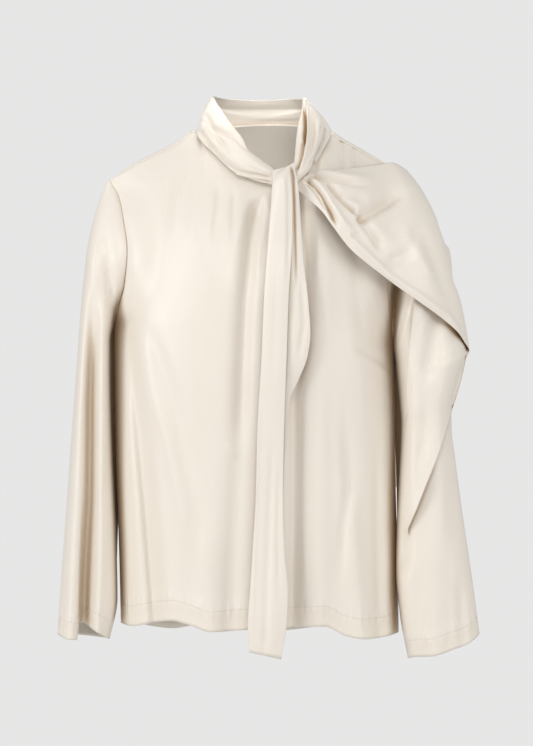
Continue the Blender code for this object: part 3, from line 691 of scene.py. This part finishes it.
RIGHT_SLEEVE_CREASES = [
    Crease(6, 14, 12, 0.4, 0.3, (-200, -90), (-200, -130), (-198, -175), (-195, -215), (-190, -262)),
    Crease(5, 5, 6, 0.4, 0.3, (-196, -150), (-193, -200), (-189, -250)),
    Crease(21, 8, 10, 0.3, 0.01,
           (-213, -150), (-215, -250), (-218, -350), (-219, -480), (-224, -600), (-227, -690)),
    Crease(9, 1.6, 9, 0.55, 0.01, (-225, -430), (-230, -560), (-233, -690)),
    Crease(-6, 8, 8, 0.3, 0.01, (-226, -200), (-232, -350), (-243, -560), (-248, -690)),
    Crease(-6, 7, 7, 0.3, 0.01, (-203, -220), (-203, -400), (-204, -560), (-210, -690)),
    Crease(2.2, 4, 5, 0.4, 0.4, (-196, -380), (-197, -440), (-200, -520)),
]
LEFT_SLEEVE_CREASES = [
    Crease(5, 10, 10, 0.3, 0.4, (254, -350), (254, -389), (256, -470), (257, -558)),
    Crease(-6, 16, 14, 0.5, 0.01, (226, -430), (230, -560), (232, -690)),
    Crease(9, 10, 12, 0.2, 0.3, (233, -225), (231, -250), (226, -290), (218, -330)),
    Crease(5, 5, 9, 0.3, 0.3, (192, -515), (191, -540), (190, -560), (182, -585)),
    Crease(3, 8, 10, 0.4, 0.01, (206, -560), (210, -690)),
    Crease(-3, 6, 8, 0.3, 0.3, (206, -250), (204, -330), (200, -420), (198, -500)),
    Crease(3.5, 7, 9, 0.4, 0.4, (222, -330), (218, -390), (208, -460)),
    Crease(3, 7, 7, 0.4, 0.01, (262, -560), (268, -690)),
]


FRONT_POWER, INNER_POWER, BACK_POWER = 2.3, 4.0, 0.87    # how square the rings are in front and behind
CAP_SHARE, CUFF_SHARE = 0.2, 0.15              # how much of the length the cap and the cuff take
# Where the column's path has its corners, by share of the front: under the inner edge, at it,
# at the outer edge and back under it.
CORNERS = (0.20, 0.30, 0.66, 0.78)
LEAST_STEP = 6                                 # between one corner and the next


class Sleeve:
    """One sleeve: its armhole on the body's seam, rings down to the cuff, and its standing column."""

    def __init__(self, sign, rings, seam, cuff, column, creases):
        self.sign, self.rings, self.seam = sign, rings, seam
        self.cuff, self.column, self.creases = cuff, column, creases

    def armhole(self, along, front):
        z = mix(self.rings.read(0, "in_z"), self.rings.read(0, "out_z"), (along + 1) / 2)
        x = self.seam.read(z, "x")
        return Vector((x + self.sign * SEAM_GAP, (front_y if front else back_y)(x, z), z))

    def free(self, along, side, down):
        out_x, out_z, in_x, in_z, y, front, back, behind = self.rings.read(down, *RINGS.split()[1:])
        x = mix(in_x, out_x, (along + 1) / 2)
        z = mix(in_z, out_z, (along + 1) / 2)
        if side < 0:
            lift = 0.0
            if self.column:
                x, lift = self.lapped(x, z, in_x, out_x, in_z, out_z)
            share = (x - in_x) / (out_x - in_x)
            reach = min(max(2 * share - 1, -1.0), 1.0)
            y -= front * (1 - abs(reach) ** (FRONT_POWER if reach > 0 else INNER_POWER)) ** 0.5 + lift
            z = mix(in_z, out_z, share) + self.cuff_drop(share) * ease(down, 1 - CUFF_SHARE, 1.0)
        else:
            y += back * side ** BACK_POWER
            x -= self.sign * behind * ease(side, 0.2, 0.9) * (1 - along) / 2
        return Vector((x, y, z))

    def cuff_drop(self, share):
        """How far the front of the cuff hangs below the line between its inner and outer points."""
        out_x, out_z, in_x, in_z = self.rings.read(1, "out_x", "out_z", "in_x", "in_z")
        return self.cuff.read(mix(in_x, out_x, share), "z") - mix(in_z, out_z, share)

    def lapped(self, x, z, in_x, out_x, z_in, z_out):
        """Moves a point of the front on to the column's path: under its edge, back over it, and on."""
        share = (x - in_x) / (out_x - in_x)
        rise = (z_out - z_in) / (out_x - in_x)
        level = z
        for _ in range(3):
            inner, inner_lap, inner_lift, inner_hold = self.column.read(
                level, "inner_x", "inner_lap", "inner_lift", "hold")
            inner = mix(mix(in_x, out_x, CORNERS[1]), inner, inner_hold)
            level = z_in + rise * (inner - in_x)
        level = z
        for _ in range(3):
            outer, outer_lap, outer_lift, outer_hold = self.column.read(
                level, "outer_x", "outer_lap", "outer_lift", "hold")
            outer = mix(mix(in_x, out_x, CORNERS[2]), outer, outer_hold)
            level = z_in + rise * (outer - in_x)
        inner = max(inner, in_x + LEAST_STEP + 2)
        outer = max(outer, inner + LEAST_STEP)
        under_inner = inner + inner_lap - LEAST_STEP * (1 - ease(inner_lap, 0, LEAST_STEP))
        under_outer = outer - outer_lap + LEAST_STEP * (1 - ease(outer_lap, 0, LEAST_STEP))
        path = Table(
            "share at lift",
            (0.0, in_x, 0.0),
            (CORNERS[0], under_inner, 0.0),
            (CORNERS[1], inner, inner_lift),
            (CORNERS[2], outer, max(inner_lift * ease(outer_lap, 0, 12), outer_lift)),
            (CORNERS[3], max(under_outer, inner + LEAST_STEP), 0.0),
            (1.0, out_x, 0.0),
        )
        return path.read(share, "at", "lift")

    def place(self, u, v):
        down = 1 - v
        angle = 2 * math.pi * u
        along, side = -math.cos(angle), -self.sign * math.sin(angle)
        point = self.free(along, side, down)
        attached = 1 - ease(down, 0.0, CAP_SHARE)
        if attached:
            point = point.lerp(self.armhole(along, side < 0), attached)
        if side < 0:
            point.y += creased(self.creases, point.x, point.z) * ease(-side, 0, 0.5) * ease(down, 0, 0.06)
        return point


SLEEVE_RIGHT = Sleeve(-1, RIGHT_SLEEVE, RIGHT_SEAM, RIGHT_CUFF, None, RIGHT_SLEEVE_CREASES)
SLEEVE_LEFT = Sleeve(1, LEFT_SLEEVE, LEFT_SEAM, LEFT_CUFF, LEFT_COLUMN, LEFT_SLEEVE_CREASES)
SLEEVE_FLAT = (0.31, 0.62)    # round the sleeve at its widest, and from its cap to its cuff
CUFF_DEPTH = 22               # from a cuff's edge up to its stitches


def above_cuff(sleeve):
    """How far a point lies above the line of stitches round the cuff."""
    return lambda u, v, point: (point - sleeve.place(u, 0.0)).length - CUFF_DEPTH


sleeve_right, _ = cloth(
    "sleeve_right", SLEEVE_RIGHT.place, 190, 150, SLEEVE_FLAT, above_cuff(SLEEVE_RIGHT), tube=True)
sleeve_left, left_form = cloth(
    "sleeve_left", SLEEVE_LEFT.place, 220, 170, SLEEVE_FLAT, above_cuff(SLEEVE_LEFT), tube=True)


# ------------------------------------------------------------------ neck_band
# A bias strip of the satin sewn round the neck by one edge and rolled over itself in three soft folds.
# Its front end runs under the knot.

# Each stretch runs between two long edges, a and b, through a middle line, m.
WOUND = "along ax ay az mx my mz bx by bz"
NECK_BAND = Table(
    WOUND,
    (0.00, 22, -78, -71, 22, -86, -62, 27, -80, -54),
    (0.08, 4, -76, -68, 6, -84, -54, 12, -72, -43),
    (0.16, -19, -73, -61, -13, -78, -41, -5, -65, -29),
    (0.24, -36, -66, -51, -27, -70, -26, -18, -56, -11),
    (0.32, -49, -57, -40, -41, -58, -12, -32, -44, 7),
    (0.40, -63, -44, -24, -56, -44, 3, -43, -32, 23),
    (0.48, -79, -18, -4, -70, -18, 19, -54, -8, 40),
    (0.56, -80, 14, 3, -72, 14, 28, -58, 14, 49),
    (0.66, -58, 54, 1, -54, 51, 27, -44, 46, 47),
    (0.76, 0, 68, 0, 0, 65, 26, 0, 60, 45),
    (0.85, 60, 54, 1, 55, 51, 27, 46, 46, 46.5),
    (0.92, 95, 12, 7, 82, 10, 26, 60, 8, 44),
    (0.96, 96, -20, -2, 79, -26, 12, 60, -20, 26),
    (1.00, 76, -58, -42, 68, -60, -30, 55, -50, -16),
)
NECK_BAND_CREASES = [
    Crease(5, 2.2, 5, 0.12, 0.25, (-70, 27), (-67, 18), (-60, 5), (-51, 0), (-42, -4), (-31, -8),
           (-20, -17), (-10, -25), (0, -35)),
    Crease(4, 2.0, 4.5, 0.15, 0.35, (-74, 18), (-64, 4), (-54, -8), (-45, -20), (-33, -31)),
    Crease(5, 1.8, 4.5, 0.06, 0.1, (-79, 4), (-71, -9), (-63, -21), (-54, -34), (-44, -44), (-31, -53),
           (-15, -58), (-3, -60), (9, -62), (22, -64)),
    Crease(3, 1.5, 2.5, 0.2, 0.1, (-29, -58), (-15, -63), (1, -66), (19, -69)),
    Crease(2.5, 1.6, 3.0, 0.4, 0.1, (-24, -38), (-8, -46), (6, -52), (22, -58)),
    Crease(-2.0, 3.0, 3.0, 0.2, 0.3, (-62, 14), (-48, 6), (-30, -2), (-12, -18)),
    Crease(-1.6, 3.0, 3.0, 0.2, 0.3, (-66, -4), (-52, -20), (-36, -36), (-14, -48)),
    Crease(4, 3, 6, 0.3, 0.3, (84, 22), (86, 6), (78, -14), (70, -34)),
    Crease(3, 2.5, 4, 0.3, 0.3, (92, 6), (86, -12), (76, -32)),
]
NECK_BAND_RUNS = [
    Crease(-1.2, 12, 12, 0.2, 0.2, (66, 60), (76, 64), (88, 58)),
    Crease(1.0, 5, 6, 0.3, 0.3, (80, 30), (84, 46), (87, 66)),
]
REACH = 26                    # how deep a point may lie in what it covers
NUDGE = 0.004                 # the step that the direction out of the cloth is read over


def wound(table, across, along):
    values = table.read(along, *WOUND.split()[1:])
    a, m, b = Vector(values[:3]), Vector(values[3:6]), Vector(values[6:])
    return (a * (1 - across) * (1 - 2 * across) + m * 4 * across * (1 - across)
            + b * across * (2 * across - 1))


def folded(table, creases, runs=(), under=(), clearance=0.0):
    """A wound stretch with creases in its seen front, and runs of them by share along and across it.

    It lies clear of the forms under it.
    """
    def place(across, along):
        point = wound(table, across, along)
        side = wound(table, across + NUDGE, along) - wound(table, across - NUDGE, along)
        ahead = wound(table, across, min(along + NUDGE, 1)) - wound(table, across, max(along - NUDGE, 0))
        out = side.cross(ahead).normalized()
        depth = creased(runs, 100 * along, 100 * across)
        if out.y < 0:
            depth += creased(creases, point.x, point.z) * ease(-out.y, 0, 0.35)
        if under:
            point = lifted(point, out, under, clearance + max(depth, 0.0))
        return point - out * depth

    return place


def lifted(point, out, under, clearance):
    """The point moved out, along the cloth's own outward direction, until it clears every form under it."""
    height = -clearance
    for form in under:
        hit, _, _, distance = form.ray_cast(point + out * REACH, -out, REACH + clearance)
        if hit:
            height = max(height, REACH - distance)
    return point + out * (height + clearance)


BAND_FLAT = (0.066, 0.40)     # the seen width of the band, and its run round the neck
neck_band, _ = cloth(
    "neck_band", folded(NECK_BAND, NECK_BAND_CREASES, NECK_BAND_RUNS, [front_form, back_form], 1.0),
    56, 210, BAND_FLAT)


# ------------------------------------------------------------------ scarf_knot
# The half knot that gathers the scarf at the base of the neck: one flat turn of satin round the rest.

KNOT = Table(
    WOUND,
    (0.0, 19, -82, -52, 19, -89, -61, 19, -82, -70),
    (0.25, 25, -88, -50, 25, -95, -61, 25, -88, -72),
    (0.6, 35, -89, -48, 35, -96, -61, 35, -89, -73),
    (1.0, 43, -85, -51, 43, -91, -62, 43, -85, -72),
)
KNOT_CREASES = [
    Crease(3, 3, 3, 0.1, 0.1, (22, -56), (36, -60), (50, -58)),
    Crease(2.5, 2.5, 3, 0.1, 0.1, (22, -64), (36, -68), (50, -66)),
]
KNOT_FLAT = (0.027, 0.027)
scarf_knot, _ = cloth("scarf_knot", folded(KNOT, KNOT_CREASES), 30, 30, KNOT_FLAT)


# ------------------------------------------------------------------ scarf_drape
# The scarf's wide end: a cape of satin pleated into the knot, thrown over the left shoulder and upper arm
# and hanging behind. Its pleats fan out and fade over the arm.

DRAPE = Table(
    WOUND,
    (0.00, 54, -80, -56, 52, -87, -64, 49, -81, -74),
    (0.08, 72, -76, -53, 70, -92, -70, 62, -94, -86),
    (0.16, 98, -62, -51, 92, -92, -78, 82, -102, -104),
    (0.24, 120, -46, -48, 117, -88, -88, 99, -106, -127),
    (0.32, 139, -30, -45, 143, -80, -100, 120, -105, -154),
    (0.40, 158, -14, -42, 172, -68, -112, 146, -98, -176),
    (0.48, 176, -2, -39, 204, -58, -119, 176, -88, -199),
    (0.56, 191, 12, -45, 228, -43, -127, 212, -78, -224),
    (0.64, 202, 25, -57, 243, -22, -142, 246, -60, -249),
    (0.72, 203, 43, -75, 249, 10, -160, 277, -22, -285),
    (0.80, 192, 68, -106, 249, 48, -192, 268, 26, -292),
    (0.88, 160, 96, -156, 216, 82, -244, 246, 66, -322),
    (0.94, 126, 114, -246, 176, 105, -316, 214, 92, -378),
    (1.00, 104, 120, -400, 150, 116, -440, 190, 104, -470),
)
DRAPE_CREASES = [
    # from the knot out along the shoulder, then down the fan of pleats
    Crease(6, 2.2, 4.5, 0.1, 0.45, (66, -54), (80, -57), (97, -62), (110, -66), (130, -70), (152, -72)),
    Crease(-3.5, 4, 5, 0.15, 0.4, (70, -51), (96, -56), (120, -60), (160, -62)),
    Crease(9, 2.4, 6, 0.08, 0.12,
           (68, -56), (78, -61), (90, -68), (99, -79), (110, -92), (125, -105), (133, -110)),
    Crease(11, 7, 10, 0.12, 0.4, (128, -109), (140, -111), (155, -104), (170, -93), (184, -82), (195, -70)),
    Crease(7, 4.2, 7, 0.1, 0.35, (130, -110), (142, -126), (151, -139), (157, -150), (161, -161)),
    Crease(8, 2.0, 4, 0.08, 0.25, (60, -60), (76, -74), (84, -85), (90, -98), (97, -114), (108, -130)),
    Crease(-4, 3.5, 4.5, 0.1, 0.4, (66, -60), (82, -76), (94, -94), (110, -118), (136, -144)),
    Crease(4, 1.6, 2.6, 0.1, 0.3, (60, -66), (74, -80), (84, -96), (92, -108)),
    Crease(4.5, 8, 10, 0.3, 0.35,
           (157, -171), (174, -171), (188, -165), (197, -156), (203, -142), (207, -120)),
    Crease(2.5, 2.5, 3, 0.2, 0.3, (120, -140), (126, -137), (134, -132)),
    Crease(-2, 10, 10, 0.3, 0.4, (140, -122), (166, -142), (186, -146)),
    Crease(4, 9, 9, 0.4, 0.3, (204, -108), (224, -150), (242, -196), (256, -240)),
    Crease(-4, 9, 9, 0.4, 0.3, (186, -112), (208, -160), (232, -208)),
    Crease(3.4, 7, 7, 0.4, 0.3, (96, -84), (118, -84), (146, -88)),
    Crease(-3.5, 4, 5, 0.1, 0.1, (92, -104), (128, -148), (170, -188), (215, -218), (246, -240), (272, -278)),
]
DRAPE_RUNS = [
    Crease(6, 8, 8, 0.1, 0.02, (66, 30), (80, 36), (100, 40)),
    Crease(6, 8, 8, 0.1, 0.02, (68, 62), (82, 66), (100, 70)),
    Crease(-4, 7, 7, 0.1, 0.02, (68, 47), (82, 52), (100, 56)),
]
DRAPE_FLAT = (0.30, 0.78)     # the scarf's wide end, across its spread width and from the knot to its tip
scarf_drape, _ = cloth(
    "scarf_drape", folded(DRAPE, DRAPE_CREASES, DRAPE_RUNS, [front_form, back_form, left_form], 2.0),
    130, 210, DRAPE_FLAT)


# ------------------------------------------------------------------ neck_strap
# The stretch of scarf that comes round the left of the neck and down into the knot, folded lengthways.

NECK_STRAP = Table(
    WOUND,
    (0.00, 74, -2, 30, 67, -2, 42, 60, -2, 47),
    (0.18, 88, -26, 12, 76, -38, 22, 57, -32, 26),
    (0.40, 84, -50, -8, 71, -66, -6, 52, -54, 2),
    (0.62, 77, -72, -30, 65, -86, -28, 49, -74, -24),
    (0.82, 67, -88, -52, 58, -98, -50, 47.5, -88, -45),
    (1.00, 52, -94, -67, 48, -99, -62, 45, -93, -56),
)
NECK_STRAP_CREASES = [
    Crease(10, 2.2, 2.2, 0.15, 0.1,
           (60, 38), (61.5, 23), (62, 4), (60.5, -12), (57, -28), (53, -42), (49, -54)),
    Crease(-4, 1.8, 2.0, 0.15, 0.15, (62, 42), (65.5, 23), (66, 4), (64, -22), (61.5, -35), (54, -56)),
    Crease(-3.5, 1.5, 1.6, 0.2, 0.2, (57, -4), (59.5, -16), (55.5, -32), (50, -46)),
    Crease(3.5, 3.5, 4.5, 0.2, 0.3, (72, 26), (73.5, -2), (71, -22), (64, -42)),
    Crease(-3, 3.0, 3.5, 0.2, 0.3, (77, 20), (78.5, -3), (75, -24), (66, -46)),
    Crease(3.0, 1.8, 2.8, 0.2, 0.2, (83, 8), (80, -14), (75, -32), (66, -48)),
]
STRAP_FLAT = (0.055, 0.16)
neck_strap, _ = cloth(
    "neck_strap", folded(NECK_STRAP, NECK_STRAP_CREASES, (), [front_form], 1.0), 90, 110, STRAP_FLAT)


# ------------------------------------------------------------------ scarf_tail and scarf_tail_edge
# The scarf's narrow end, hanging straight down from the knot: the upper fold of it and, a little behind,
# the edge of the fold beneath.

# Their two edges, how far forward they lie, and how much they bow.
HANGING = "down ax az bx bz y bow"
TAIL = Table(
    HANGING,
    (0.00, 41, -45, 27, -54, -100, 1),
    (0.03, 42, -52, 24, -57, -106, 4),
    (0.07, 43.5, -64, 19.5, -67, -111, 7),
    (0.14, 45.5, -96, 17.5, -96, -115, 6),
    (0.24, 45, -140, 14, -140, -117, 5),
    (0.38, 40.5, -215, 8.5, -215, -126, 4),
    (0.50, 37.5, -300, 5, -300, -126, 3),
    (0.64, 34.5, -385, 0, -385, -120, 2),
    (0.77, 33, -480, -2.5, -480, -116, 2),
    (0.86, 35, -545, -6.5, -545, -117, 3),
    (0.93, 39.5, -600, -10, -600, -119, 4),
    (0.97, 37.5, -642, -12.5, -640, -120, 5),
    (1.00, 30.5, -684, -11, -675, -120, 3),
)
TAIL_CREASES = [
    Crease(2.0, 2.5, 3, 0.1, 0.5, (38, -54), (39.5, -80), (40, -130), (38, -220)),
    Crease(1.4, 5, 6, 0.3, 0.4, (27, -80), (26, -150), (22, -260), (18, -380)),
    Crease(3, 5, 5, 0.3, 0.1, (20, -380), (16, -500), (12, -600), (10, -684)),
    Crease(2, 3, 4, 0.3, 0.3, (28, -420), (26, -520), (28, -620)),
    Crease(-1.6, 3, 3, 0.4, 0.1, (4, -300), (0, -420), (-4, -560), (-8, -670)),
]
TAIL_EDGE = Table(
    HANGING,
    (0.00, 46.5, -42, 38, -48, -96, 1),
    (0.08, 52.5, -70, 38, -70, -104, 3),
    (0.18, 56, -118, 37, -118, -108, 4),
    (0.30, 59.5, -166, 34, -166, -112, 4),
    (0.42, 66, -225, 30, -225, -118, 4),
    (0.50, 68.5, -264, 28, -262, -118, 5),
    (0.56, 65, -292, 26, -292, -117, 5),
    (0.64, 52, -326, 24, -326, -116, 3),
    (0.70, 42, -350, 22, -352, -114, 1),
    (0.80, 35.5, -420, 14, -420, -111, 0),
    (0.90, 32, -520, 6, -520, -109, 0),
    (1.00, 24, -664, -4, -660, -111, 0),
)
TAIL_EDGE_CREASES = [
    Crease(4, 1.6, 2.4, 0.05, 0.4, (42, -46), (45, -62), (46.5, -100), (48, -160), (49, -230)),
    Crease(3, 4, 4, 0.3, 0.3, (56, -180), (60, -250), (52, -310)),
]


def hanging(table, creases):
    def place(across, down):
        ax, az, bx, bz, y, bow = table.read(down, *HANGING.split()[1:])
        x, z = mix(ax, bx, across), mix(az, bz, across)
        return x, y - bow * 4 * across * (1 - across) + creased(creases, x, z), z

    return place


TAIL_FLAT, TAIL_EDGE_FLAT = (0.042, 0.64), (0.034, 0.62)
scarf_tail, _ = cloth("scarf_tail", hanging(TAIL, TAIL_CREASES), 50, 210, TAIL_FLAT)
scarf_tail_edge, _ = cloth(
    "scarf_tail_edge", hanging(TAIL_EDGE, TAIL_EDGE_CREASES), 44, 180, TAIL_EDGE_FLAT)
